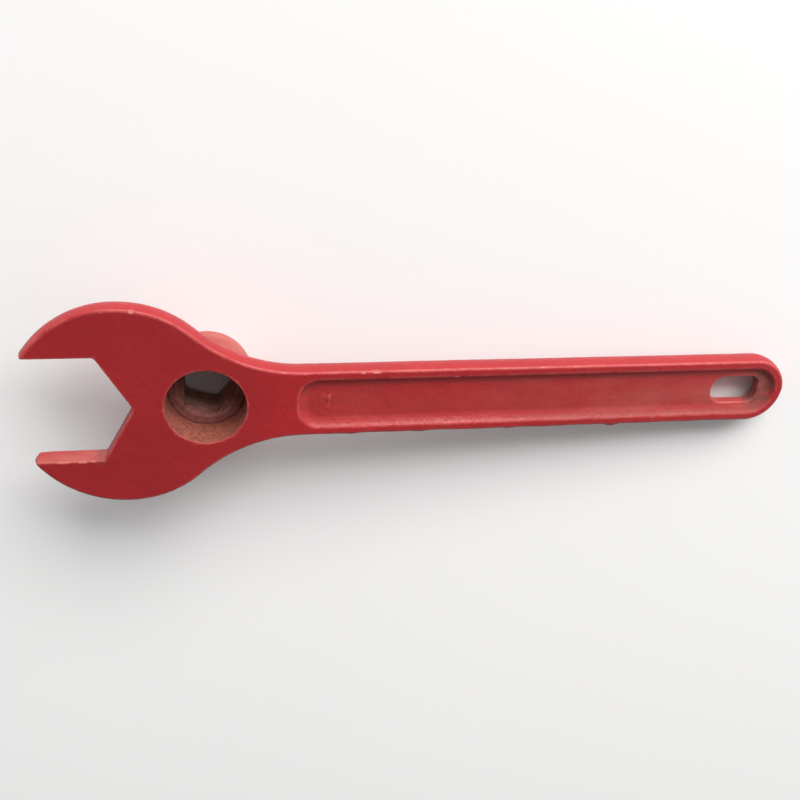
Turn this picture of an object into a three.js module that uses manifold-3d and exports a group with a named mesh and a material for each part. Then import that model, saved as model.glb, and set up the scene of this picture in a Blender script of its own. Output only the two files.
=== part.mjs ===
// Fire hydrant wrench. One iron casting carries an open hexagon jaw, a round boss and an I-beam handle with a
// hang slot. A steel drive socket sits in the boss, and two slotted spring pins keep it from turning.
//
// Millimetres, +Z up. The part's frame has +X along the handle towards the hang slot and +Z out of the flat
// front face. Its origin is at the middle of the length and width, level with the boss's rear rim.
// The shapes themselves are made about the bore: x and y from its axis, and z down from the front face at 0.

import * as THREE from "three";
import { mergeVertices } from "three/addons/utils/BufferGeometryUtils.js";
import Module from "manifold-3d";

// Whole part
const LENGTH = 397.5;
const THICKNESS = 12;
const TOTAL_DEPTH = 45;
const CROWN = 1.7; // by which the sides bulge from each face out to the mould's parting line
const PARTING_BAND = 0.5; // height of the upright strip at the parting line

// Jaw head: a disc with a hexagon cut into it. Outlines are those at the parting line.
const HEAD_RADIUS = 53.8;
const HEAD_X = -40;
const JAW_ACROSS_FLATS = 56;
const JAW_X = -67;
const UPPER_TIP_ROUND = 1.2;
const LOWER_TIP_ROUND = 2.2;
const JAW_CORNER_ROUND = 1.2;
const JAW_APEX_ROUND = 5;
const JAW_EDGE_EASE = 0.7;

// Handle: flanges along both edges, a thin web between them
const HANDLE_HALF_WIDTH = 19.1;
const NECK_RADIUS = 75;
const FLANGE_WIDTH = 5.4;
const RECESS_DEPTH = 2.75;
const RECESS_DRAFT = 3.3;
const RECESS_START = 45.5;
const RECESS_START_CORNER = 11;
const HANG_SLOT_LENGTH = 27;
const HANG_SLOT_WIDTH = 15.2;
const HANG_SLOT_START_CORNER = 7.6;
const HANG_SLOT_END_CORNER = 5.5;
const HANG_SLOT_X = 284;

// Raised foundry disc at the start of the front recess
const FOUNDRY_DISC_RADIUS = 3.2;
const FOUNDRY_DISC_HEIGHT = 0.7;
const FOUNDRY_DISC_X = 60.5;
const FOUNDRY_DISC_Y = 2;

// Boss behind the head, and its stepped bore
const BOSS_ROOT_RADIUS = 25.5;
const BOSS_RIM_RADIUS = 22.8;
const BOSS_FILLET = 5;
const BOSS_RIM_ROUND = 1.8;
const BORE_RADIUS = 20;
const BORE_EDGE_EASE = 0.6;
const SOCKET_DEPTH = 20; // from the front face down to the socket's collar
const SEAT_RADIUS = 17.5;

// Drive socket: a collar that rests on the seat, a sleeve, and a five-sided hole
const FIT_GAP = 0.3; // clearance between touching pieces
const COLLAR_THICKNESS = 3;
const PENTAGON_INRADIUS = 12;
const SOCKET_CHAMFER = 0.8;
const SOCKET_SET_BACK = 0.5; // of the sleeve's end from the boss's rim

// Spring pins, square to two flats of the five-sided hole
const PIN_RADIUS = 3;
const PIN_WALL = 0.9;
const PIN_SLIT = 1.2;
const PIN_DEPTH = 34;
const PIN_ANGLE = THREE.MathUtils.degToRad(108);
const PIN_INNER_END = 14;
const PIN_OUTER_END = 23.2;
const PIN_CHAMFER = 0.2;

// Facets: the most that a chord may stray from its arc
const CHORD_ERROR = 0.04;
const ABOVE = 2; // how far a cutter runs past the face that it opens
const OVERLAP = 0.05; // by which joined shapes run into each other, so that no two faces lie in one plane

// Values that follow
const halfFlats = JAW_ACROSS_FLATS / 2;
const jawSide = JAW_ACROSS_FLATS / Math.sqrt(3);
const jawCornerX = JAW_X + jawSide / 2;
const jawApexX = JAW_X + jawSide;
const neckCentreY = HANDLE_HALF_WIDTH + NECK_RADIUS;
const neckCentreX = HEAD_X + Math.sqrt((HEAD_RADIUS + NECK_RADIUS) ** 2 - neckCentreY ** 2);
const neckAngle = Math.atan2(neckCentreY, neckCentreX - HEAD_X);
const upperTip = tipCentre(UPPER_TIP_ROUND);
const lowerTip = tipCentre(LOWER_TIP_ROUND);
const jawTipX = upperTip.x - UPPER_TIP_ROUND;
const tailX = jawTipX + LENGTH - HANDLE_HALF_WIDTH;
const boreX = -LENGTH / 2 - jawTipX;
const recessRadius = HANDLE_HALF_WIDTH - FLANGE_WIDTH;

const wasm = await Module();
wasm.setup();

// ---- Outlines ----

// The centre of the small round that joins the upper jaw flat to the rim of the head.
function tipCentre(round) {
  const y = halfFlats + round;
  return new THREE.Vector2(HEAD_X - Math.sqrt((HEAD_RADIUS - round) ** 2 - y ** 2), y);
}

// Points along an arc, close enough together to keep to the chord error.
function arc(x, y, radius, from, to) {
  const step = 2 * Math.acos(1 - CHORD_ERROR / radius);
  const count = Math.max(2, Math.ceil(Math.abs(to - from) / step));
  return Array.from({ length: count + 1 }, (_, i) => {
    const angle = from + ((to - from) * i) / count;
    return new THREE.Vector2(x + radius * Math.cos(angle), y + radius * Math.sin(angle));
  });
}

// A round that joins two straight edges at a corner; before and after are other points on those edges.
function roundedCorner(before, corner, after, radius) {
  const back = before.clone().sub(corner).normalize();
  const ahead = after.clone().sub(corner).normalize();
  const half = Math.acos(back.dot(ahead)) / 2;
  const inward = back.clone().add(ahead).normalize();
  const centre = corner.clone().addScaledVector(inward, radius / Math.sin(half));
  const start = corner.clone().addScaledVector(back, radius / Math.tan(half)).sub(centre);
  const end = corner.clone().addScaledVector(ahead, radius / Math.tan(half)).sub(centre);
  const from = Math.atan2(start.y, start.x);
  const sweep = Math.atan2(start.cross(end), start.dot(end));
  return arc(centre.x, centre.y, radius, from, from + sweep);
}

function mirrored(points) {
  return points.map((p) => new THREE.Vector2(p.x, -p.y)).reverse();
}

// The head, necks, handle and tail, without the jaw.
function bodyOutline() {
  const upper = [
    ...arc(HEAD_X, 0, HEAD_RADIUS, Math.PI, neckAngle),
    ...arc(neckCentreX, neckCentreY, NECK_RADIUS, neckAngle - Math.PI, -Math.PI / 2).slice(1),
    ...arc(tailX, 0, HANDLE_HALF_WIDTH, Math.PI / 2, 0),
  ];
  return new THREE.Shape([...upper, ...mirrored(upper).slice(1, -1)]);
}

// One side of the space in the jaw, from outside the head round the tip and along the flat to the corner.
function jawSideOutline(tip, tipRound) {
  const onRim = Math.atan2(tip.y, tip.x - HEAD_X);
  const offRim = new THREE.Vector2(Math.cos(onRim), Math.sin(onRim))
    .multiplyScalar(HEAD_RADIUS + ABOVE)
    .add(new THREE.Vector2(HEAD_X, 0));
  const corner = roundedCorner(
    new THREE.Vector2(jawApexX, 0),
    new THREE.Vector2(jawCornerX, halfFlats),
    new THREE.Vector2(tip.x, halfFlats),
    JAW_CORNER_ROUND,
  );
  return [
    new THREE.Vector2(HEAD_X - HEAD_RADIUS - ABOVE, offRim.y),
    offRim,
    ...arc(tip.x, tip.y, tipRound, onRim, 1.5 * Math.PI),
    ...corner.reverse(),
  ];
}

// The space in the jaw: a hexagon that opens away from the handle, with its corners and the tips rounded.
function jawSpace() {
  const corner = new THREE.Vector2(jawCornerX, halfFlats);
  const apex = roundedCorner(
    corner,
    new THREE.Vector2(jawApexX, 0),
    new THREE.Vector2(corner.x, -corner.y),
    JAW_APEX_ROUND,
  );
  const upper = jawSideOutline(upperTip, UPPER_TIP_ROUND);
  const lower = mirrored(jawSideOutline(lowerTip, LOWER_TIP_ROUND));
  return new THREE.Shape([...upper, ...apex, ...lower]);
}

// A slot with round corners, from one end's x to the other's. Each end has its own corner radius.
function slotShape(startX, endX, halfWidth, startCorner, endCorner) {
  const right = endX - endCorner;
  const left = startX + startCorner;
  const rightUp = halfWidth - endCorner;
  const leftUp = halfWidth - startCorner;
  return new THREE.Shape([
    ...arc(right, -rightUp, endCorner, -Math.PI / 2, 0),
    ...arc(right, rightUp, endCorner, 0, Math.PI / 2).slice(rightUp > 0 ? 0 : 1),
    ...arc(left, leftUp, startCorner, Math.PI / 2, Math.PI),
    ...arc(left, -leftUp, startCorner, Math.PI, 1.5 * Math.PI).slice(leftUp > 0 ? 0 : 1),
  ]);
}

// ---- Solids ----

// A manifold-3d solid from a closed geometry, whichever way round its profile was drawn.
function solid(geometry) {
  const bare = geometry.index ? geometry.toNonIndexed() : geometry;
  bare.deleteAttribute("normal");
  bare.deleteAttribute("uv");
  const merged = mergeVertices(bare, 1e-3);
  const index = merged.index.array;
  const corners = [];
  for (let i = 0; i < index.length; i += 3) {
    const [a, b, c] = index.slice(i, i + 3);
    if (a !== b && b !== c && c !== a) corners.push(a, b, c);
  }
  const made = (triangles) =>
    new wasm.Manifold(
      new wasm.Mesh({
        numProp: 3,
        vertProperties: merged.attributes.position.array,
        triVerts: new Uint32Array(triangles),
      }),
    );
  const first = made(corners);
  return first.volume() > 0 ? first : made(corners.reverse());
}

// An outline extruded upwards from the height z.
function extruded(shape, z, height) {
  const geometry = new THREE.ExtrudeGeometry(shape, { depth: height, bevelEnabled: false });
  return solid(geometry.translate(0, 0, z));
}

// The plate of the whole body, its sides crowned between the two faces.
function plate() {
  const geometry = new THREE.ExtrudeGeometry(bodyOutline(), {
    depth: PARTING_BAND,
    bevelThickness: (THICKNESS - PARTING_BAND) / 2,
    bevelSize: CROWN,
    bevelOffset: -CROWN,
    bevelSegments: 3,
  });
  return solid(geometry.translate(0, 0, -(THICKNESS + PARTING_BAND) / 2));
}

// A closed profile of [radius, z] points, from axis to axis, turned about the bore.
function revolved(profile, widest) {
  const points = profile.map(([r, z]) => new THREE.Vector2(r, z));
  const segments = Math.ceil(Math.PI / Math.acos(1 - CHORD_ERROR / widest));
  return solid(new THREE.LatheGeometry(points, segments).rotateX(Math.PI / 2));
}

// A tool that sinks into the front face: it has the given outline at its depth and spreads towards the face.
function sunk(shape, depth, spread, segments) {
  return new THREE.ExtrudeGeometry(shape, {
    depth: ABOVE,
    bevelThickness: depth,
    bevelSize: spread,
    bevelSegments: segments,
  });
}

// The same tool turned over to work from the rear face.
function fromRear(tool) {
  return tool.rotateX(Math.PI).translate(0, 0, -THICKNESS);
}

// A hole through the plate with the edges on both faces eased.
function throughHole(shape, ease) {
  return extruded(shape, -THICKNESS - ABOVE, THICKNESS + 2 * ABOVE)
    .add(solid(sunk(shape, ease, ease, 1)))
    .add(solid(fromRear(sunk(shape, ease, ease, 1))));
}

// The floor of a recess, from which draughted walls rise in a fillet.
function recessFloor() {
  const radius = recessRadius - RECESS_DRAFT;
  const startCorner = RECESS_START_CORNER - RECESS_DRAFT;
  return slotShape(RECESS_START + RECESS_DRAFT, tailX + radius, radius, startCorner, radius);
}

// The boss, from its eased rim up a slight draught to the fillet that spreads under the head.
function boss() {
  const rim = arc(
    BOSS_RIM_RADIUS - BOSS_RIM_ROUND,
    BOSS_RIM_ROUND - TOTAL_DEPTH,
    BOSS_RIM_ROUND,
    -Math.PI / 2,
    0,
  );
  const fillet = arc(
    BOSS_ROOT_RADIUS + BOSS_FILLET,
    OVERLAP - THICKNESS - BOSS_FILLET,
    BOSS_FILLET,
    Math.PI,
    Math.PI / 2,
  );
  const side = [...rim, ...fillet].map((p) => [p.x, p.y]);
  return revolved([[0, -TOTAL_DEPTH], ...side, [0, -THICKNESS / 2]], BOSS_ROOT_RADIUS);
}

// The stepped bore: an eased mouth, the wide bore down to the seat, and the narrow one to the rim.
function boreCutter() {
  const seatZ = -SOCKET_DEPTH - COLLAR_THICKNESS - FIT_GAP;
  const mouthRadius = BORE_RADIUS + BORE_EDGE_EASE;
  return revolved(
    [
      [0, -TOTAL_DEPTH - ABOVE],
      [SEAT_RADIUS, -TOTAL_DEPTH - ABOVE],
      [SEAT_RADIUS, seatZ],
      [BORE_RADIUS, seatZ],
      [BORE_RADIUS, -BORE_EDGE_EASE],
      [mouthRadius, 0],
      [mouthRadius, ABOVE],
      [0, ABOVE],
    ],
    BORE_RADIUS,
  );
}

function foundryDisc() {
  return revolved(
    [
      [0, -RECESS_DEPTH - OVERLAP],
      [FOUNDRY_DISC_RADIUS, -RECESS_DEPTH - OVERLAP],
      [FOUNDRY_DISC_RADIUS - FOUNDRY_DISC_HEIGHT, FOUNDRY_DISC_HEIGHT - RECESS_DEPTH],
      [0, FOUNDRY_DISC_HEIGHT - RECESS_DEPTH],
    ],
    FOUNDRY_DISC_RADIUS,
  ).translate(FOUNDRY_DISC_X, FOUNDRY_DISC_Y, 0);
}

// A rod along the axis of one pin, from one distance off the bore's axis to another.
function rodAlongPin(radius, from, to, side) {
  const segments = Math.ceil(Math.PI / Math.acos(1 - CHORD_ERROR / radius));
  const rod = new THREE.CylinderGeometry(radius, radius, to - from, segments);
  rod.rotateZ(-Math.PI / 2);
  rod.translate((from + to) / 2, 0, -PIN_DEPTH);
  return solid(rod.rotateZ(side * PIN_ANGLE));
}

// The hole for one pin: through the boss's wall and into the socket, clear of the five-sided hole.
function pinHole(side) {
  return rodAlongPin(PIN_RADIUS + FIT_GAP, PIN_INNER_END - FIT_GAP, BOSS_ROOT_RADIUS + ABOVE, side);
}

// ---- Pieces ----

function body() {
  const halfSlot = HANG_SLOT_LENGTH / 2;
  const slot = slotShape(
    HANG_SLOT_X - halfSlot,
    HANG_SLOT_X + halfSlot,
    HANG_SLOT_WIDTH / 2,
    HANG_SLOT_START_CORNER,
    HANG_SLOT_END_CORNER,
  );
  const recess = () => sunk(recessFloor(), RECESS_DEPTH, RECESS_DRAFT, 3);
  return plate()
    .subtract(throughHole(jawSpace(), JAW_EDGE_EASE))
    .subtract(solid(recess()))
    .subtract(solid(fromRear(recess())))
    .subtract(extruded(slot, -THICKNESS - ABOVE, THICKNESS + 2 * ABOVE))
    .add(foundryDisc())
    .add(boss())
    .subtract(boreCutter())
    .subtract(pinHole(1))
    .subtract(pinHole(-1));
}

// The socket's outside, from its end by the boss's rim up to the collar's eased front face.
function socket() {
  const endZ = SOCKET_SET_BACK - TOTAL_DEPTH;
  const sleeveRadius = SEAT_RADIUS - FIT_GAP;
  const collarRadius = BORE_RADIUS - FIT_GAP;
  const collarZ = -SOCKET_DEPTH - COLLAR_THICKNESS;
  const outside = revolved(
    [
      [0, endZ],
      [sleeveRadius - SOCKET_CHAMFER, endZ],
      [sleeveRadius, endZ + SOCKET_CHAMFER],
      [sleeveRadius, collarZ],
      [collarRadius, collarZ],
      [collarRadius, -SOCKET_DEPTH - SOCKET_CHAMFER],
      [collarRadius - SOCKET_CHAMFER, -SOCKET_DEPTH],
      [0, -SOCKET_DEPTH],
    ],
    BORE_RADIUS,
  );
  return outside
    .subtract(extruded(pentagon(), -TOTAL_DEPTH - ABOVE, TOTAL_DEPTH))
    .subtract(leadIn(-SOCKET_DEPTH, 1))
    .subtract(leadIn(endZ, -1))
    .subtract(pinHole(1))
    .subtract(pinHole(-1));
}

// The five-sided hole, with one corner towards the handle.
function pentagon() {
  const circumradius = PENTAGON_INRADIUS / Math.cos(Math.PI / 5);
  const corners = Array.from({ length: 5 }, (_, i) => {
    const angle = (2 * Math.PI * i) / 5;
    return new THREE.Vector2(circumradius * Math.cos(angle), circumradius * Math.sin(angle));
  });
  return new THREE.Shape(corners);
}

// A shallow cone that eases one mouth of the five-sided hole; outward is 1 at the front and -1 at the rear.
function leadIn(mouthZ, outward) {
  const widest = PENTAGON_INRADIUS / Math.cos(Math.PI / 5) + SOCKET_CHAMFER;
  const cone = [
    [0, mouthZ - outward * widest],
    [widest + ABOVE, mouthZ + outward * ABOVE],
    [0, mouthZ + outward * ABOVE],
  ];
  return revolved(cone, widest);
}

// A slotted spring pin: a rolled steel tube with a slit along it, and eased ends.
function springPin(side) {
  const inner = PIN_RADIUS - PIN_WALL;
  const outerSlit = Math.asin(PIN_SLIT / 2 / PIN_RADIUS);
  const innerSlit = Math.asin(PIN_SLIT / 2 / inner);
  const section = new THREE.Shape([
    ...arc(0, 0, PIN_RADIUS, outerSlit, 2 * Math.PI - outerSlit),
    ...arc(0, 0, inner, 2 * Math.PI - innerSlit, innerSlit),
  ]);
  const tube = new THREE.ExtrudeGeometry(section, {
    depth: PIN_OUTER_END - PIN_INNER_END - 2 * PIN_CHAMFER,
    bevelThickness: PIN_CHAMFER,
    bevelSize: PIN_CHAMFER,
    bevelOffset: -PIN_CHAMFER,
    bevelSegments: 1,
  });
  tube.rotateY(Math.PI / 2);
  tube.translate(PIN_INNER_END + PIN_CHAMFER, 0, -PIN_DEPTH);
  return solid(tube.rotateZ(side * PIN_ANGLE));
}

// ---- The wrench ----

const redPaint = new THREE.MeshStandardMaterial({ color: 0xa82e30, roughness: 0.45, metalness: 0.1 });
const socketSteel = new THREE.MeshStandardMaterial({ color: 0x6e4a42, roughness: 0.7, metalness: 0.6 });
const pinSteel = new THREE.MeshStandardMaterial({ color: 0x8c8a88, roughness: 0.35, metalness: 0.9 });

// A named mesh from a manifold-3d solid.
function mesh(name, made, material) {
  const { vertProperties, triVerts } = made.getMesh();
  const geometry = new THREE.BufferGeometry();
  geometry.setAttribute("position", new THREE.BufferAttribute(vertProperties, 3));
  geometry.setIndex(new THREE.BufferAttribute(triVerts, 1));
  geometry.computeVertexNormals();
  const piece = new THREE.Mesh(geometry, material);
  piece.name = name;
  return piece;
}

const wrench = new THREE.Group();
wrench.position.set(boreX, 0, TOTAL_DEPTH);
wrench.add(
  mesh("wrench_body", body(), redPaint),
  mesh("drive_socket", socket(), socketSteel),
  mesh("lock_pin_upper", springPin(1), pinSteel),
  mesh("lock_pin_lower", springPin(-1), pinSteel),
);

const part = new THREE.Group();
part.add(wrench);

export default part;
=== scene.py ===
"""Looks of the fire hydrant wrench: a red iron casting with a bored boss, a steel drive socket and two pins.

Each visible piece is a fine mesh whose points are moved onto a signed distance: a formula that is negative
inside the piece and zero on its skin. The formulas work in millimetres about the bore: x and y from its axis,
z from the flat front face, which is 0, down to the boss's rim. Blender's own objects are in metres.
"""

from math import atan2, cos, hypot, pi, radians, sin, sqrt

import bpy
import numpy as np
from mathutils import Matrix, Vector


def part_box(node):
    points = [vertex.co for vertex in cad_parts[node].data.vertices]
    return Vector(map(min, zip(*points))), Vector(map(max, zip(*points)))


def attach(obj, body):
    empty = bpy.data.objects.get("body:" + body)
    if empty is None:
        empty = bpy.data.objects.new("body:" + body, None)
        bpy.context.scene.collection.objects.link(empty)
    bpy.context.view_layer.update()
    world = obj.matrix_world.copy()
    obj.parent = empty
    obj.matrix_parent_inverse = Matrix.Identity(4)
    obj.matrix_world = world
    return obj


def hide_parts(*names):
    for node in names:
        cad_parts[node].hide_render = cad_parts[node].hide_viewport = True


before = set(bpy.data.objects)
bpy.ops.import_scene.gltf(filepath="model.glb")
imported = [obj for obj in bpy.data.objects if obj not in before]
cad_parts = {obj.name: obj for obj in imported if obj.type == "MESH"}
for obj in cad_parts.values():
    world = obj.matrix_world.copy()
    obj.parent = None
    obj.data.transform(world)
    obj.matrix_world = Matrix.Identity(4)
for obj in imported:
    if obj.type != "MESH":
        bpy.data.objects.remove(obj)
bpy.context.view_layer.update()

# ---- Sizes, from the frame where it has them ----

MM = 0.001
body_low, body_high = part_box("wrench_body")
socket_low, socket_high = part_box("drive_socket")
BORE = Vector(((socket_low.x + socket_high.x) / 2, 0, body_high.z))  # bore's axis at the front face
DEPTH = (body_high.z - body_low.z) / MM
SOCKET_FRONT = (socket_high.z - BORE.z) / MM
SOCKET_REAR = (socket_low.z - BORE.z) / MM

THICKNESS = 12.0
FACE_ROUND = 1.1  # the eased edge between a face and the side
SIDE_DRAUGHT = 1.3  # the sides lean out by this much from each face to the parting line
OUTLINE_MARGIN = 0.15  # room that the parting line's flash keeps inside the frame's box

HEAD_X = -40.0
HEAD_RADIUS = (body_high.y - body_low.y) / 2 / MM - OUTLINE_MARGIN
JAW_FLAT = 28.0  # from the centre line to either jaw flat
JAW_X = -67.0
JAW_APEX_X = JAW_X + 2 * JAW_FLAT / sqrt(3)
JAW_EDGE = 0.55
JAW_CORNER = 1.2
JAW_APEX = 2.8  # round of the deepest corner
JAW_SLANT = pi / 6  # the angle by which each inner wall leans from straight across the handle
FLATS_END_X = -50.0  # just past where the jaw's flats meet its slanting walls
TIP_X = -84.0  # from here to the tips the jaw's edges are fully worn
TIP_RUN = 6.0  # length over which the wear builds up
UPPER_TIP_WEAR = 0.8
LOWER_TIP_WEAR = 0.9
LOWER_TIP_FRONT_WEAR = 0.72  # what the lower tip's front edge has on top of that

HALF_WIDTH = 19.1 - OUTLINE_MARGIN
TAIL_X = (body_high.x - BORE.x) / MM - OUTLINE_MARGIN - HALF_WIDTH
NECK_RADIUS = 75.0
NECK_Y = HALF_WIDTH + NECK_RADIUS
NECK_X = HEAD_X + sqrt((HEAD_RADIUS + NECK_RADIUS) ** 2 - NECK_Y**2)
NECK_ANGLE = atan2(NECK_Y, NECK_X - HEAD_X)

RECESS_RADIUS = 13.7
RECESS_CORNER = 11.0  # of the two corners at the head's end; the tail's end is fully round
RECESS_DEPTH = 2.75
RECESS_WALL = 3.3  # width of the sloping wall
RECESS_START = 45.5
RECESS_FILLET = 1.8  # at the foot of the lower wall
RECESS_UPPER_FILLET = 1.0
RECESS_EDGE = 0.5

SLOT_X = 284.0
SLOT_HALF_LENGTH = 13.5
SLOT_HALF_WIDTH = 7.6
SLOT_END_CORNER = 5.5  # at the tail's end; the other end is fully round
SLOT_EDGE = 0.9

MARK_X = 60.5
MARK_Y = 2.0
MARK_RADIUS = 3.5
MARK_HEIGHT = 0.45
MARK_STRETCH = 1.2  # its length across the handle against its width
MARK_SINK = 0.05  # keeps its thin margin under the recess's floor

# Knocks on the edges of the front face: x, y, half length along x and radius, all at one height
NICK_Z = 0.4
NICK_EDGE = 0.3
NICKS = (
    (-31.4, 52.2, 0.3, 1.5),
    (78.3, 17.7, 0.5, 1.0),
    (85.2, 17.7, 1.3, 1.05),
    (-70.5, -28, 2.6, 0.8),
    (-61.5, -28, 1.4, 1.05),
    (-56, -28, 0.5, 0.8),
)
# Drips of paint on the handle's lower edge, just under the front face: x and height
DRIPS = ((73, 0.5), (109, 0.6), (157, 0.5), (215, 1.3))
DRIP_LEVEL = 4.5  # above the parting line
DRIP_HALF_LENGTH = 3.5
DRIP_HALF_HEIGHT = 1.2
FLASH_HALF_HEIGHT = 0.8
SIDE_SWAY = 0.04  # unevenness of the sides, which always goes inwards
# Unevenness of the cast skin: size of its lumps, depth and seed
CAST_SKIN = ((26, 0.02, 1), (5, 0.015, 2))

BOSS_ROOT = 25.5
BOSS_RIM = 22.8
BOSS_RIM_ROUND = 2.0
BOSS_FILLET = 5.5
BORE_RADIUS = 20.0
SEAT_RADIUS = 17.5
SEAT_DEPTH = -23.3
BORE_EDGE = 0.6

SOCKET_COLLAR = 19.93
SOCKET_SLEEVE = 17.35
COLLAR_REAR = -23.0
PENTAGON_INRADIUS = 12.0
PENTAGON_CORNER = 0.8
PENTAGON_RADIUS = PENTAGON_INRADIUS / cos(pi / 5)
MOUTH_RADIUS = PENTAGON_RADIUS + 0.8  # of the cones that open the hole's two ends
SLEEVE_DROP = 1.0  # the sleeve starts this far under the collar's front
COLLAR_EDGE = 0.3
SLEEVE_EDGE = 0.6
HOLE_EDGE = 0.5
MOUTH_EDGE = 0.2
SOCKET_SKIN = 0.03

PIN_RADIUS = 3.2
PIN_HOLE = 3.3
PIN_WALL = 0.9
PIN_SLIT = 1.2
PIN_DEPTH = -34.0
PIN_ANGLE = radians(108)
PIN_INNER_END = 14.0
PIN_OUTER_END = 23.3
PIN_END_GAP = 0.3  # from a pin's inner end to the end of its hole
PIN_HOLE_EDGE = 0.3
PIN_EDGE = 0.15
PIN_END_EDGE = 0.25


# ---- Distance formulas ----


def both(a, b, radius=0.0):
    """What lies in both shapes, with the edge between them rounded."""
    corner = np.hypot(np.maximum(a + radius, 0), np.maximum(b + radius, 0))
    return np.minimum(np.maximum(a, b), -radius) + corner


def either(a, b, radius=0.0):
    """What lies in either shape, with a fillet where they meet."""
    corner = np.hypot(np.maximum(radius - a, 0), np.maximum(radius - b, 0))
    return np.maximum(np.minimum(a, b), radius) - corner


def without(a, b, radius=0.0):
    """The first shape with the second cut out of it, and the cut's edge rounded."""
    return both(a, -b, radius)


def ripple(points, size, seed, waves=18):
    """Smooth seeded unevenness of about one unit, never over 2, whose lumps are roughly size apart."""
    rng = np.random.default_rng(seed)
    direction = rng.normal(size=(waves, 3))
    direction /= np.linalg.norm(direction, axis=1)[:, None]
    rate = direction * (2 * pi / size * rng.uniform(0.5, 1.5, waves))[:, None]
    phase = rng.uniform(0, 2 * pi, waves)
    return 2 * np.tanh(np.sin(points @ rate.T + phase).sum(1) / sqrt(2 * waves))


def ramp(value, low, high):
    """0 up to low, 1 from high on, and straight between them."""
    return np.clip((value - low) / (high - low), 0, 1)


def outline(x, y):
    """The body's outline at the parting line, with the jaw still solid."""
    y = np.abs(y)
    head = np.hypot(x - HEAD_X, y) - HEAD_RADIUS
    handle = np.where(x > TAIL_X, np.hypot(x - TAIL_X, y), y) - HALF_WIDTH
    neck = NECK_RADIUS - np.hypot(x - NECK_X, y - NECK_Y)
    angle = np.arctan2(y - NECK_Y, x - NECK_X)
    in_neck = (angle > NECK_ANGLE - pi) & (angle < -pi / 2)
    return np.where(in_neck, neck, np.where(x < NECK_X, head, handle))


def rounded_box(x, y, half_length, half_width, corner):
    """A rectangle about the origin with round corners, whose radius may differ from place to place."""
    dx = np.abs(x) - half_length + corner
    dy = np.abs(y) - half_width + corner
    outside = np.hypot(np.maximum(dx, 0), np.maximum(dy, 0))
    return outside + np.minimum(np.maximum(dx, dy), 0) - corner


def recess_outline(x, y):
    """The edge of the hollow along the handle, at the face."""
    end = TAIL_X + RECESS_RADIUS
    middle = (RECESS_START + end) / 2
    corner = np.where(x < middle, RECESS_CORNER, RECESS_RADIUS)
    return rounded_box(x - middle, y, (end - RECESS_START) / 2, RECESS_RADIUS, corner)


def slot_outline(x, y):
    """The edge of the hang slot."""
    corner = np.where(x < SLOT_X, SLOT_HALF_WIDTH, SLOT_END_CORNER)
    return rounded_box(x - SLOT_X, y, SLOT_HALF_LENGTH, SLOT_HALF_WIDTH, corner)


def plate(p):
    """The body's plate. Its sides lean out to the parting line's low ragged flash, with drips below."""
    x, y, z = p.T
    level = z + THICKNESS / 2
    lean = SIDE_DRAUGHT * (level / (THICKNESS / 2)) ** 2
    handle_underside = ramp(x, 20, 80) * (y < 0)
    sway = SIDE_SWAY * (2 + ripple(p * (1, 1, 0.3), 30, 6)) * (1 + 2 * handle_underside)
    ragged = np.clip(0.5 + 0.5 * ripple(p * (1, 1, 0), 13, 5), 0, 1)
    flash = OUTLINE_MARGIN * ragged * np.exp(-((level / FLASH_HALF_HEIGHT) ** 2))
    for drip_x, height in DRIPS:
        along = (x - drip_x) / DRIP_HALF_LENGTH
        up = (level - DRIP_LEVEL) / DRIP_HALF_HEIGHT
        flash += (y < 0) * height * np.exp(-(along**2 + up**2))
    return both(outline(x, y) + lean + sway - flash, np.abs(level) - THICKNESS / 2, FACE_ROUND)


def jaw_space(p):
    """The space between the jaws: four walls of a hexagon."""
    x, y, _ = p.T
    forward = cos(JAW_SLANT) * (x - JAW_APEX_X)
    sideways = sin(JAW_SLANT) * y
    throat = both(forward + sideways, forward - sideways, JAW_APEX)
    return both(throat, np.abs(y) - JAW_FLAT, JAW_CORNER)


def jaw_edge_round(p):
    """How round the jaw's edges are: more at the tips, which take knocks, and most on the lower one."""
    x, y, z = p.T
    near_tip = ramp(-x, -TIP_X - TIP_RUN, -TIP_X)
    lower_wear = LOWER_TIP_WEAR + LOWER_TIP_FRONT_WEAR * ramp(z, -THICKNESS / 2, 0)
    return JAW_EDGE + near_tip * np.where(y < 0, lower_wear, UPPER_TIP_WEAR)


def recess(p, side):
    """The hollow along the handle, on the front (side 1) or the rear (side -1)."""
    x, y, z = p.T
    below_face = -z if side > 0 else z + THICKNESS
    slope = RECESS_WALL / RECESS_DEPTH
    wall = (recess_outline(x, y) + slope * below_face) / hypot(1, slope)
    fillet = RECESS_UPPER_FILLET + (RECESS_FILLET - RECESS_UPPER_FILLET) * ramp(-y, -6, 6)
    return both(wall, below_face - RECESS_DEPTH, fillet)


def boss(p):
    """The round boss behind the head, a little wider at its root."""
    x, y, z = p.T
    share = np.clip((-THICKNESS - z) / (DEPTH - THICKNESS), 0, 1)
    side = np.hypot(x, y) - (BOSS_ROOT + (BOSS_RIM - BOSS_ROOT) * share)
    return both(both(side, -DEPTH - z, BOSS_RIM_ROUND), z + THICKNESS / 2)


def bore(p):
    """The bore down to its shoulder, and the seat below it that takes the socket's sleeve."""
    x, y, z = p.T
    radial = np.hypot(x, y)
    return np.minimum(both(radial - BORE_RADIUS, SEAT_DEPTH - z), radial - SEAT_RADIUS)


def pin_frame(p, side):
    """Points as seen from one pin: along it, and across it two ways."""
    x, y, z = p.T
    angle = side * PIN_ANGLE
    along = x * cos(angle) + y * sin(angle)
    across = y * cos(angle) - x * sin(angle)
    return along, across, z - PIN_DEPTH


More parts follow.
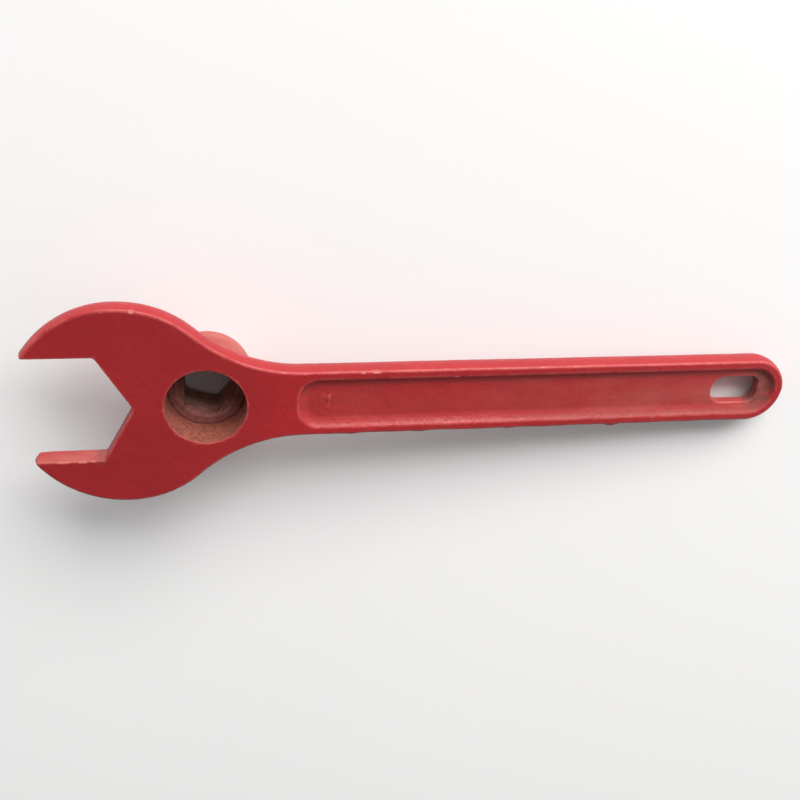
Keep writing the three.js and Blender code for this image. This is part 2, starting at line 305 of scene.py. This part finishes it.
def pin_hole(p, side):
    """The hole for one pin, from inside the sleeve's wall out through the boss."""
    along, across, up = pin_frame(p, side)
    return both(np.hypot(across, up) - PIN_HOLE, PIN_INNER_END - PIN_END_GAP - along)


def foundry_mark(p):
    """A worn, pitted lump at the start of the front recess, with no shape that could be read."""
    x, y, z = p.T
    radial = np.hypot(x - MARK_X, (y - MARK_Y) / MARK_STRETCH)
    swell = MARK_HEIGHT * np.exp(-((radial / MARK_RADIUS) ** 2))
    height = swell * (1 + 0.8 * ripple(p * (1, 0.8, 1), 3.6, 20)) - MARK_SINK
    lump = both(z + RECESS_DEPTH - height, radial - 2 * MARK_RADIUS)
    return both(lump, -z - RECESS_DEPTH - 1)


def frame_box(p):
    """Distance outside the frame's box for this piece, which no lump may pass."""
    low = np.array(body_low - BORE) / MM
    high = np.array(body_high - BORE) / MM
    return np.maximum(low - p, p - high).max(1)


def nick(p, x, y, half_length, radius):
    """One knock: a short round-ended groove along x."""
    along = np.maximum(np.abs(p[:, 0] - x) - half_length, 0)
    across = np.hypot(p[:, 1] - y, p[:, 2] - NICK_Z)
    return np.hypot(along, across) - radius


def nicked(shape, p):
    """The shape with small knocks taken out of its front edges."""
    for sizes in NICKS:
        shape = without(shape, nick(p, *sizes), NICK_EDGE)
    return shape


def wrench_body(p):
    """The whole casting."""
    x, y, _ = p.T
    shape = plate(p)
    shape = without(shape, jaw_space(p), jaw_edge_round(p))
    shape = without(shape, recess(p, 1), RECESS_EDGE)
    shape = without(shape, recess(p, -1), RECESS_EDGE)
    shape = without(shape, slot_outline(x, y), SLOT_EDGE)
    shape = np.minimum(shape, foundry_mark(p))
    shape = nicked(shape, p)
    shape = either(shape, boss(p), BOSS_FILLET)
    shape = without(shape, bore(p), BORE_EDGE)
    shape = without(shape, pin_hole(p, 1), PIN_HOLE_EDGE)
    shape = without(shape, pin_hole(p, -1), PIN_HOLE_EDGE)
    for size, depth, seed in CAST_SKIN:
        shape = shape + depth * (2 + ripple(p, size, seed))
    return np.maximum(shape, frame_box(p))


def drive_socket(p):
    """A collar and a sleeve round a five-sided hole with eased mouths."""
    x, y, z = p.T
    radial = np.hypot(x, y)
    collar_ends = both(z - SOCKET_FRONT, COLLAR_REAR - z)
    collar = both(radial - SOCKET_COLLAR, collar_ends, COLLAR_EDGE)
    sleeve_ends = both(z - SOCKET_FRONT + SLEEVE_DROP, SOCKET_REAR - z)
    sleeve = both(radial - SOCKET_SLEEVE, sleeve_ends, SLEEVE_EDGE)
    hole = np.full_like(x, -100.0)
    for flat in range(5):
        angle = (2 * flat + 1) * pi / 5
        side = x * cos(angle) + y * sin(angle) - PENTAGON_INRADIUS
        hole = both(hole, side, PENTAGON_CORNER)
    shape = without(np.minimum(collar, sleeve), hole, HOLE_EDGE)
    shape = without(shape, radial - MOUTH_RADIUS + (SOCKET_FRONT - z), MOUTH_EDGE)
    shape = without(shape, radial - MOUTH_RADIUS + (z - SOCKET_REAR), MOUTH_EDGE)
    shape = without(shape, pin_hole(p, 1))
    shape = without(shape, pin_hole(p, -1))
    return shape + SOCKET_SKIN * ripple(p, 6, 3)


def spring_pin(side):
    """A rolled steel tube with a slit along it."""

    def distance(p):
        along, across, up = pin_frame(p, side)
        radial = np.hypot(across, up)
        middle = (PIN_INNER_END + PIN_OUTER_END) / 2
        ends = np.abs(along - middle) - (PIN_OUTER_END - PIN_INNER_END) / 2
        tube = both(radial - PIN_RADIUS, PIN_RADIUS - PIN_WALL - radial, PIN_EDGE)
        slit = both(np.abs(across) - PIN_SLIT / 2, up)
        return without(both(tube, ends, PIN_END_EDGE), slit, PIN_EDGE)

    return distance


# ---- Meshes from the formulas ----

TETRAHEDRON = np.array([(1, -1, -1), (-1, -1, 1), (-1, 1, -1), (1, 1, 1)], float)
SLOPE_STEP = 0.04  # half the side of the cube that holds the tetrahedron
LEAST_STEEPNESS = 0.25  # keeps a move short where the formula is nearly level
FARTHEST_MOVE = 0.8  # of a vertex along one axis in one round
EDGE_REACH = 1.0  # how far off the skin's bend is felt

# Each piece: spacing of its first mesh, and most triangles
BODY_MESH = (0.55, 185000)
SOCKET_MESH = (0.35, 30000)
PIN_MESH = (0.16, 6000)


def gradient(distance, points):
    """The formula's slope, from its values at the corners of a small tetrahedron round each point."""
    slopes = [corner * distance(points + SLOPE_STEP * corner)[:, None] for corner in TETRAHEDRON]
    return sum(slopes) / (4 * SLOPE_STEP)


def mesh_points(mesh):
    """A mesh's vertices in the formulas' own millimetres."""
    points = np.empty(len(mesh.vertices) * 3)
    mesh.vertices.foreach_get("co", points)
    return (points.reshape(-1, 3) - BORE) / MM


def set_mesh_points(mesh, points):
    """Puts points in the formulas' millimetres back into a mesh."""
    mesh.vertices.foreach_set("co", (points * MM + BORE).ravel())
    mesh.update()


def with_modifier(piece, kind, **settings):
    """Applies one modifier to a piece's mesh."""
    modifier = piece.modifiers.new(kind.lower(), kind)
    for name, value in settings.items():
        setattr(modifier, name, value)
    evaluated = piece.evaluated_get(bpy.context.evaluated_depsgraph_get())
    mesh = bpy.data.meshes.new_from_object(evaluated)
    piece.modifiers.clear()
    old = piece.data
    piece.data = mesh
    bpy.data.meshes.remove(old)


def onto_surface(mesh, distance, rounds):
    """Moves every vertex along the formula's slope until it lies on the skin."""
    points = mesh_points(mesh)
    for _ in range(rounds):
        slope = gradient(distance, points)
        steepness = np.maximum((slope**2).sum(1), LEAST_STEEPNESS)
        move = (distance(points) / steepness)[:, None] * slope
        points -= np.clip(move, -FARTHEST_MOVE, FARTHEST_MOVE)
    set_mesh_points(mesh, points)


def add_attribute(mesh, name, values):
    """Gives each vertex a number that a material can read by name."""
    attribute = mesh.attributes.new(name, "FLOAT", "POINT")
    attribute.data.foreach_set("value", values.astype(np.float32))


def bend(distance, points):
    """How sharply the skin bends: above 0 on an outer edge and below 0 in a hollow."""
    around = sum(distance(points + EDGE_REACH * axis) for axis in np.vstack((np.eye(3), -np.eye(3))))
    return (around - 6 * distance(points)) / EDGE_REACH


def sculpted(name, node, distance, fineness, material):
    """A piece that stands for a CAD node: its solid, remeshed finely and moved onto the formula's skin."""
    voxel, triangles = fineness
    piece = bpy.data.objects.new(name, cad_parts[node].data.copy())
    bpy.context.scene.collection.objects.link(piece)
    with_modifier(piece, "REMESH", mode="VOXEL", voxel_size=voxel * MM)
    onto_surface(piece.data, distance, 5)
    with_modifier(piece, "TRIANGULATE")
    count = len(piece.data.polygons)
    if count > triangles:
        with_modifier(piece, "DECIMATE", ratio=triangles / count)
    onto_surface(piece.data, distance, 2)
    mesh = piece.data
    mesh.name = name
    mesh.materials.clear()
    mesh.materials.append(material)
    mesh.polygons.foreach_set("use_smooth", np.ones(len(mesh.polygons), bool))
    mesh.polygons.foreach_set("material_index", np.zeros(len(mesh.polygons), np.int32))
    points = mesh_points(mesh)
    normals = gradient(distance, points)
    normals /= np.linalg.norm(normals, axis=1)[:, None]
    mesh.normals_split_custom_set_from_vertices(normals.tolist())
    edge = bend(distance, points)
    add_attribute(mesh, "edge", np.clip(edge, 0, 1))
    add_attribute(mesh, "hollow", np.clip(-edge, 0, 1))
    for mask in (bore_mask, nut_mask, nick_mask, dust_mask, grime_and_shade_mask, scuff_mask, cast_mask):
        add_attribute(mesh, mask.__name__, mask(points))
    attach(piece, "root")
    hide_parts(node)


# ---- Where the finish differs, and where shade is painted, as masks from 0 to 1 ----


def below_face(z):
    """Depth under the nearer of the plate's two faces."""
    return THICKNESS / 2 - np.abs(z + THICKNESS / 2)


def jaw_flats(x, y):
    """1 on the jaw's two flats."""
    return (x < FLATS_END_X) * ramp(0.9 - np.abs(np.abs(y) - JAW_FLAT), 0, 0.4)


def between(x, low, start, end, high):
    """1 from start to end along the handle, fading to 0 at low and high."""
    return ramp(x, low, start) * ramp(x, high, end)


def lower_wall(x, y):
    """1 on the sloping wall along the recess's lower side."""
    inward = -recess_outline(x, y)
    return ramp(inward, -0.4, 0.2) * ramp(inward, RECESS_WALL, RECESS_WALL - 0.8) * ramp(-y, 4, 9)


def bore_mask(p):
    """The bore's bare wall."""
    x, y, z = p.T
    outside = np.maximum(np.hypot(x, y) - BORE_RADIUS - 0.5, z + 0.4)
    return ramp(-outside, -0.6, 0.6)


def nut_mask(p):
    """The walls of the five-sided hole, which the hydrant's nut keeps rubbed."""
    x, y, z = p.T
    return ramp(SOCKET_FRONT - z, 2.5, 6) * ramp(PENTAGON_RADIUS + 0.6 - np.hypot(x, y), 0, 0.4)


def nick_mask(p):
    """The nicks' broken surfaces."""
    nearest = np.min([nick(p, *sizes) for sizes in NICKS], axis=0)
    return 0.6 * ramp(0.25 - nearest, 0, 0.25)


def dust_mask(p):
    """Where chalky dust has settled: the recess, most at its tail end, the boss and the jaw flats."""
    x, y, z = p.T
    recessed = ramp(-recess_outline(x, y), 2, 4) * ramp(below_face(z), 0.5, 2.2)
    in_recess = recessed * (0.2 + 0.5 * ramp(x, 130, 270))
    on_boss = 1.3 * ramp(-z, 12.5, 18)
    on_flat = jaw_flats(x, y) * np.where(y < 0, 1.0, 0.3)
    return np.max((in_recess, on_boss, on_flat), axis=0)


def grime_and_shade_mask(p):
    """Darkening: dirt at the recess's tail end, painted shade along the lower side edges, and darker paint on
    the slot's tail-end wall, the recess's lower wall and the lower jaw's inner corner, throat and flat.
    """
    x, y, z = p.T
    depth = below_face(z)
    slot_wall = ramp(1.2 - np.abs(slot_outline(x, y)), 0, 0.6) * ramp(x - SLOT_X, 6, 11)
    tail_end = 0.95 * ramp(x, SLOT_X + 6, SLOT_X + 14) * ramp(depth, 0.3, 1.5)
    tail_end = tail_end * (recess_outline(x, y) < 0.3)
    dull_wall = 0.35 * lower_wall(x, y) * ramp(x, 140, 200)
    # Painted shade: the lower side edges, which face away from the light, are darkened.
    under_shade = 0.8 * ramp(outline(x, y), -2.3, -1.6) * ramp(depth, 0.02, 0.4) * ramp(-y, 4, 12)
    corner = 0.7 * np.exp(-(((x + 53.5) / 3) ** 2) - ((y + 27.5) / 2.5) ** 2)
    throat = 0.5 * ramp(1.2 - np.abs(jaw_space(p)), 0, 0.6) * ramp(depth, 0.2, 0.8)
    throat = throat * ramp(x, FLATS_END_X - 6, FLATS_END_X) * (y < 0)
    flat = 0.15 * jaw_flats(x, y) * (y < 0)
    return np.max((slot_wall, tail_end, dull_wall, under_shade, corner, throat, flat), axis=0)


def scuff_mask(p):
    """The recess's lower wall, where the paint is rough and rubbed, most along two stretches."""
    x, y, _ = p.T
    rough = np.maximum(between(x, 80, 100, 130, 150), 0.4 * between(x, 175, 195, 255, 280))
    return lower_wall(x, y) * (0.3 + 0.7 * rough)


def cast_mask(p):
    """As-cast skin: everything but the head's two faces, which the grinder has smoothed."""
    x, _, z = p.T
    return 1 - ramp(38 - x, 0, 20) * ramp(0.5 - below_face(z), 0, 0.3)


# ---- Materials ----


def srgb(red, green, blue):
    """A colour given as it shows on a screen, 0 to 255, as Blender's linear numbers."""
    linear = [((c / 255 + 0.055) / 1.055) ** 2.4 for c in (red, green, blue)]
    return (*linear, 1)


# Colours in pairs are the two ends of a patchy mix
HEAD_REDS = (srgb(148, 34, 39), srgb(153, 36, 40))
CAST_REDS = (srgb(160, 34, 38), srgb(166, 36, 41))
BLOTCH_RED = srgb(136, 38, 36)
DUST_RED = srgb(186, 112, 102)
SCUFFED_RED = srgb(196, 104, 94)
# The pale red of worn edges, also serving as painted highlight on them.
WORN_AND_HIGHLIGHT_RED = srgb(204, 100, 94)
# Dark brown for grime, also used as painted shade.
GRIME_AND_SHADE = srgb(94, 62, 54)
CHIP = srgb(218, 150, 138)
RUSTS = (srgb(124, 65, 54), srgb(158, 87, 69))
DARK_RUST = srgb(98, 58, 44)
SOCKET_BROWNS = (srgb(116, 68, 62), srgb(142, 84, 76))
SOCKET_STAIN = srgb(86, 54, 44)
SOCKET_EDGE = srgb(150, 116, 104)
SOCKET_RUBBED = srgb(166, 122, 110)
SPRING_STEEL = srgb(150, 146, 142)
RUST_FLECK = srgb(112, 76, 58)
FLOOR_PALES = ((0.93, 0.93, 0.93, 1), (0.95, 0.95, 0.95, 1))


class Shader:
    """Short ways to add and join the nodes of one material."""

    def __init__(self, name):
        self.material = bpy.data.materials.new(name)
        self.material.use_nodes = True
        self.nodes = self.material.node_tree.nodes
        self.links = self.material.node_tree.links
        self.surface = self.nodes["Principled BSDF"]
        self.place = self.nodes.new("ShaderNodeTexCoord").outputs["Object"]

    def feed(self, socket, value):
        """Joins a node's output to a socket, or sets a constant on the socket itself."""
        if isinstance(value, bpy.types.NodeSocket):
            self.links.new(value, socket)
        else:
            socket.default_value = value

    def attribute(self, name):
        """The number that each vertex carries under this name."""
        node = self.nodes.new("ShaderNodeAttribute")
        node.attribute_name = name
        return node.outputs["Fac"]

    def noise(self, size_mm, detail=3.0, rough=0.5, stretch=(1, 1, 1)):
        """Cloudy noise around 0.5, whose lumps are about size_mm across."""
        mapping = self.nodes.new("ShaderNodeMapping")
        mapping.inputs["Scale"].default_value = stretch
        self.links.new(self.place, mapping.inputs["Vector"])
        node = self.nodes.new("ShaderNodeTexNoise")
        node.inputs["Scale"].default_value = 1 / (size_mm * MM)
        node.inputs["Detail"].default_value = detail
        node.inputs["Roughness"].default_value = rough
        self.links.new(mapping.outputs["Vector"], node.inputs["Vector"])
        return node.outputs["Fac"]

    def step(self, value, low, high):
        """0 below low, 1 above high, and smooth between them."""
        node = self.nodes.new("ShaderNodeMapRange")
        node.interpolation_type = "SMOOTHSTEP"
        node.inputs["From Min"].default_value = low
        node.inputs["From Max"].default_value = high
        self.links.new(value, node.inputs["Value"])
        return node.outputs["Result"]

    def patches(self, low, high, size_mm, detail=3.0, rough=0.5, stretch=(1, 1, 1)):
        """The noise made into patches: 0 where it is below low, and 1 where it is above high."""
        return self.step(self.noise(size_mm, detail, rough, stretch), low, high)

    def math(self, operation, a, b):
        node = self.nodes.new("ShaderNodeMath")
        node.operation = operation
        self.feed(node.inputs[0], a)
        self.feed(node.inputs[1], b)
        return node.outputs[0]

    def times(self, a, b):
        return self.math("MULTIPLY", a, b)

    def mix(self, share, a, b):
        """Colour a where share is 0, and b where it is 1."""
        node = self.nodes.new("ShaderNodeMix")
        node.data_type = "RGBA"
        self.feed(node.inputs["Factor"], share)
        self.feed(node.inputs[6], a)
        self.feed(node.inputs[7], b)
        return node.outputs[2]

    def blend(self, share, a, b):
        """The number a where share is 0, and b where it is 1."""
        node = self.nodes.new("ShaderNodeMix")
        self.feed(node.inputs["Factor"], share)
        self.feed(node.inputs[2], a)
        self.feed(node.inputs[3], b)
        return node.outputs[0]

    def bump(self, height, depth_mm, before=None):
        """A normal roughened by a height, on top of an earlier one if there is one."""
        node = self.nodes.new("ShaderNodeBump")
        node.inputs["Distance"].default_value = depth_mm * MM
        self.links.new(height, node.inputs["Height"])
        if before is not None:
            self.links.new(before, node.inputs["Normal"])
        return node.outputs["Normal"]


def dirt_and_shade(s):
    """How dusty the paint is, and how dark from grime and from painted shade in its hollows and along its
    lower side edges.
    """
    dust = s.times(s.patches(0.2, 0.75, 22, 4, 0.6, (0.4, 1, 1)), s.times(s.attribute("dust_mask"), 0.6))
    hollow = s.step(s.attribute("hollow"), 0.1, 0.6)
    # Painted shade: the paint is darkened in hollows and fillets, where shade falls.
    hollow_shade = s.times(hollow, s.patches(0.35, 0.65, 7, 4, 0.6))
    # The grime mask's darkening: dirt, plus painted shade along the lower side edges.
    soot_and_shade = s.times(s.attribute("grime_and_shade_mask"), s.patches(0.2, 0.6, 4, 4, 0.65))
    grime_and_shade = s.math("MAXIMUM", s.times(hollow_shade, 0.25), s.times(soot_and_shade, 0.8))
    return dust, grime_and_shade


def paint_colour(s, cast, dust, grime_and_shade):
    """Enamel in two reds, with blotches, dust, scuffs, grime with painted shade, edges lightened by wear and
    as painted highlight, and chips over it.
    """
    tone = s.patches(0.35, 0.65, 40)
    colour = s.mix(cast, s.mix(tone, *HEAD_REDS), s.mix(tone, *CAST_REDS))
    blotch = s.times(s.patches(0.48, 0.72, 9, 4, 0.65), s.blend(cast, 0.1, 0.25))
    colour = s.mix(blotch, colour, BLOTCH_RED)
    colour = s.mix(dust, colour, DUST_RED)
    scuff = s.times(s.patches(0.4, 0.7, 1.8, 4, 0.7), s.attribute("scuff_mask"))
    colour = s.mix(s.times(scuff, 0.35), colour, SCUFFED_RED)
    # Grime and painted shade darken the paint towards dark brown.
    colour = s.mix(grime_and_shade, colour, GRIME_AND_SHADE)
    edge = s.attribute("edge")
    # Edge wear and painted highlight: the rounded edges are lightened, in patches, towards a pale red.
    pale_edges = s.times(s.step(edge, 0.2, 0.8), s.patches(0.3, 0.65, 9, 4, 0.7))
    pale_edges = s.times(pale_edges, s.math("SUBTRACT", 1.0, grime_and_shade))
    colour = s.mix(s.times(pale_edges, 0.4), colour, WORN_AND_HIGHLIGHT_RED)
    chip = s.times(s.step(edge, 0.3, 0.7), s.patches(0.66, 0.7, 7, 5, 0.75))
    chip = s.math("MAXIMUM", chip, s.attribute("nick_mask"))
    return s.mix(s.times(chip, 0.7), colour, CHIP)


def rust_colour(s):
    """Brown rust with darker streaks."""
    rust = s.mix(s.patches(0.4, 0.62, 1.8, 5, 0.7), *RUSTS)
    return s.mix(s.patches(0.55, 0.7, 6, 4, 0.7, (1, 1, 0.4)), rust, DARK_RUST)


def cast_skin(s, cast, bare):
    """Sand grain and lumps, fainter on the ground faces, and pits where the paint is gone or scuffed."""
    sand = s.bump(s.times(s.noise(1.2, 3, 0.6), s.blend(cast, 0.25, 1.0)), 0.16)
    lumps = s.bump(s.times(s.noise(5, 2, 0.5), s.blend(cast, 0.4, 1.0)), 0.25, sand)
    rough = s.math("MAXIMUM", s.times(bare, 0.7), s.times(s.attribute("scuff_mask"), 0.4))
    return s.bump(s.times(rough, s.noise(0.9, 4, 0.7)), 0.3, lumps)


def red_paint():
    """Red enamel over a sand casting: cleanest on the head, dusty in the recess and bare in the bore."""
    s = Shader("red_paint")
    cast = s.attribute("cast_mask")
    dust, grime_and_shade = dirt_and_shade(s)
    ragged = s.math("ADD", s.attribute("bore_mask"), s.times(s.noise(3, 4, 0.7), 0.5))
    bare = s.step(ragged, 0.65, 0.85)
    colour = s.mix(bare, paint_colour(s, cast, dust, grime_and_shade), rust_colour(s))
    s.feed(s.surface.inputs["Base Color"], colour)
    dull = s.blend(s.patches(0.3, 0.7, 3, 4, 0.6), 0.38, 0.5)
    dull = s.blend(s.math("MAXIMUM", grime_and_shade, dust), dull, 0.8)
    s.feed(s.surface.inputs["Roughness"], s.blend(bare, dull, 0.82))
    s.surface.inputs["Specular IOR Level"].default_value = 0.4
    s.feed(s.surface.inputs["Normal"], cast_skin(s, cast, bare))
    return s.material


def socket_steel():
    """Steel with a brown oxide skin, paler on its edges and where the hydrant's nut rubs it."""
    s = Shader("socket_steel")
    colour = s.mix(s.patches(0.38, 0.64, 3, 5, 0.7), *SOCKET_BROWNS)
    colour = s.mix(s.times(s.patches(0.58, 0.7, 1.2, 4, 0.7), 0.6), colour, SOCKET_STAIN)
    pale_edges = s.times(s.step(s.attribute("edge"), 0.3, 0.8), s.patches(0.45, 0.65, 5))
    colour = s.mix(s.times(pale_edges, 0.3), colour, SOCKET_EDGE)
    rubbed = s.times(s.attribute("nut_mask"), s.patches(0.2, 0.5, 4, 4, 0.6))
    colour = s.mix(rubbed, colour, SOCKET_RUBBED)
    s.feed(s.surface.inputs["Base Color"], colour)
    s.surface.inputs["Metallic"].default_value = 0.2
    s.feed(s.surface.inputs["Roughness"], s.blend(s.patches(0.35, 0.65, 2, 4), 0.6, 0.85))
    s.feed(s.surface.inputs["Normal"], s.bump(s.noise(0.9, 5, 0.7), 0.18))
    return s.material


def pin_steel():
    """Dull spring steel with rust flecks."""
    s = Shader("pin_steel")
    fleck = s.patches(0.52, 0.64, 0.8, 4, 0.7)
    s.feed(s.surface.inputs["Base Color"], s.mix(fleck, SPRING_STEEL, RUST_FLECK))
    s.surface.inputs["Metallic"].default_value = 0.85
    s.feed(s.surface.inputs["Roughness"], s.blend(fleck, 0.34, 0.75))
    s.feed(s.surface.inputs["Normal"], s.bump(s.noise(0.5, 3), 0.04))
    return s.material


# ---- Camera, lights and floor ----


# The camera looks at a point of the front face, from a swing to one side and a rise towards +Y, with a roll
CAMERA_AIM = Vector((97.4, 1.2, 0))  # millimetres from the bore
CAMERA_DISTANCE = 0.4608  # metres
CAMERA_SWING = radians(-10.6)
CAMERA_RISE = radians(27.2)
CAMERA_ROLL = radians(3.15)
CAMERA_LENS = 40.5
CAMERA_SENSOR = 36.0

# The key light's place, aim and size are in metres
KEY_PLACE = Vector((0.86, 2.7, 1.78))
KEY_AIM = Vector((0.02, 0, 0.04))
KEY_SIZE = (3.0, 1.8)
KEY_WATTS = 155.0
KEY_COLOUR = (1, 0.985, 0.97)
DOME_RIM = 1.0
DOME_TOP = 0.1
DOME_SIDE = Vector((0.25, 0.35, 0))  # the way, and how much, the dome is brighter on one side

FLOOR_REACH = 40.0  # metres from the wrench to the floor's edges
FLOOR_GAP = 0.2  # keeps the floor just clear of the tail
RIM_GAP = 1.5  # left under the rim's far side by the tilt, as its near side beds into the floor


def camera():
    """Above the handle's +Y side, turned a little towards the jaw, as the reference view is."""
    swing, rise = CAMERA_SWING, CAMERA_RISE
    back = Vector((sin(swing) * cos(rise), sin(rise), cos(swing) * cos(rise)))
    level = (-back).cross(Vector((0, 1, 0))).normalized()
    upright = level.cross(-back)
    right = cos(CAMERA_ROLL) * level + sin(CAMERA_ROLL) * upright
    up = cos(CAMERA_ROLL) * upright - sin(CAMERA_ROLL) * level
    turn = Matrix((right, up, back)).transposed()
    data = bpy.data.cameras.new("camera")
    data.sensor_width = CAMERA_SENSOR
    data.lens = CAMERA_LENS
    data.clip_start = 0.01
    made = bpy.data.objects.new("camera", data)
    place = BORE + CAMERA_AIM * MM + back * CAMERA_DISTANCE
    made.matrix_world = Matrix.Translation(place) @ turn.to_4x4()
    bpy.context.scene.collection.objects.link(made)
    bpy.context.scene.camera = made


def key_light():
    """A large soft light above the handle's +Y side."""
    data = bpy.data.lights.new("key", "AREA")
    data.shape = "RECTANGLE"
    data.size, data.size_y = KEY_SIZE
    data.energy = KEY_WATTS
    data.color = KEY_COLOUR
    made = bpy.data.objects.new("key", data)
    turn = (KEY_AIM - KEY_PLACE).to_track_quat("-Z", "Y")
    made.matrix_world = Matrix.Translation(KEY_PLACE) @ turn.to_matrix().to_4x4()
    bpy.context.scene.collection.objects.link(made)


def dome():
    """A white studio all round, bright at its rim and dim overhead."""
    world = bpy.data.worlds.new("studio")
    world.use_nodes = True
    nodes, links = world.node_tree.nodes, world.node_tree.links
    place = nodes.new("ShaderNodeTexCoord").outputs["Generated"]
    split = nodes.new("ShaderNodeSeparateXYZ")
    links.new(place, split.inputs["Vector"])
    height = nodes.new("ShaderNodeMapRange")
    height.inputs["To Min"].default_value = DOME_RIM
    height.inputs["To Max"].default_value = DOME_TOP
    links.new(split.outputs["Z"], height.inputs["Value"])
    sideways = nodes.new("ShaderNodeVectorMath")
    sideways.operation = "DOT_PRODUCT"
    sideways.inputs[1].default_value = DOME_SIDE
    links.new(place, sideways.inputs[0])
    total = nodes.new("ShaderNodeMath")
    links.new(height.outputs["Result"], total.inputs[0])
    links.new(sideways.outputs["Value"], total.inputs[1])
    links.new(total.outputs["Value"], nodes["Background"].inputs["Strength"])
    nodes["Background"].inputs["Color"].default_value = (1, 1, 1, 1)
    bpy.context.scene.world = world


def floor():
    """A pale matt floor, tilted to meet the tail and the boss's rim, on which the wrench rests."""
    rim = Vector((BORE.x - BOSS_RIM * MM, 0, -RIM_GAP * MM))
    tail = Vector((body_high.x, 0, BORE.z - THICKNESS * MM))
    slope = (tail - rim).normalized()
    across = Vector((0, 1, 0))
    normal = slope.cross(across)
    middle = rim - normal * FLOOR_GAP * MM
    ways = [slope * a + across * b for a, b in ((-1, -1), (1, -1), (1, 1), (-1, 1))]
    mesh = bpy.data.meshes.new("floor")
    mesh.from_pydata([tuple(middle + way * FLOOR_REACH) for way in ways], [], [(0, 1, 2, 3)])
    s = Shader("floor")
    s.feed(s.surface.inputs["Base Color"], s.mix(s.noise(300, 2), *FLOOR_PALES))
    s.surface.inputs["Roughness"].default_value = 0.9
    mesh.materials.append(s.material)
    made = bpy.data.objects.new("floor", mesh)
    bpy.context.scene.collection.objects.link(made)


camera()
key_light()
dome()
floor()
paint = red_paint()
steel = socket_steel()
pins = pin_steel()
sculpted("body", "wrench_body", wrench_body, BODY_MESH, paint)
sculpted("socket", "drive_socket", drive_socket, SOCKET_MESH, steel)
sculpted("pin_upper", "lock_pin_upper", spring_pin(1), PIN_MESH, pins)
sculpted("pin_lower", "lock_pin_lower", spring_pin(-1), PIN_MESH, pins)
bpy.context.scene.view_settings.view_transform = "Standard"
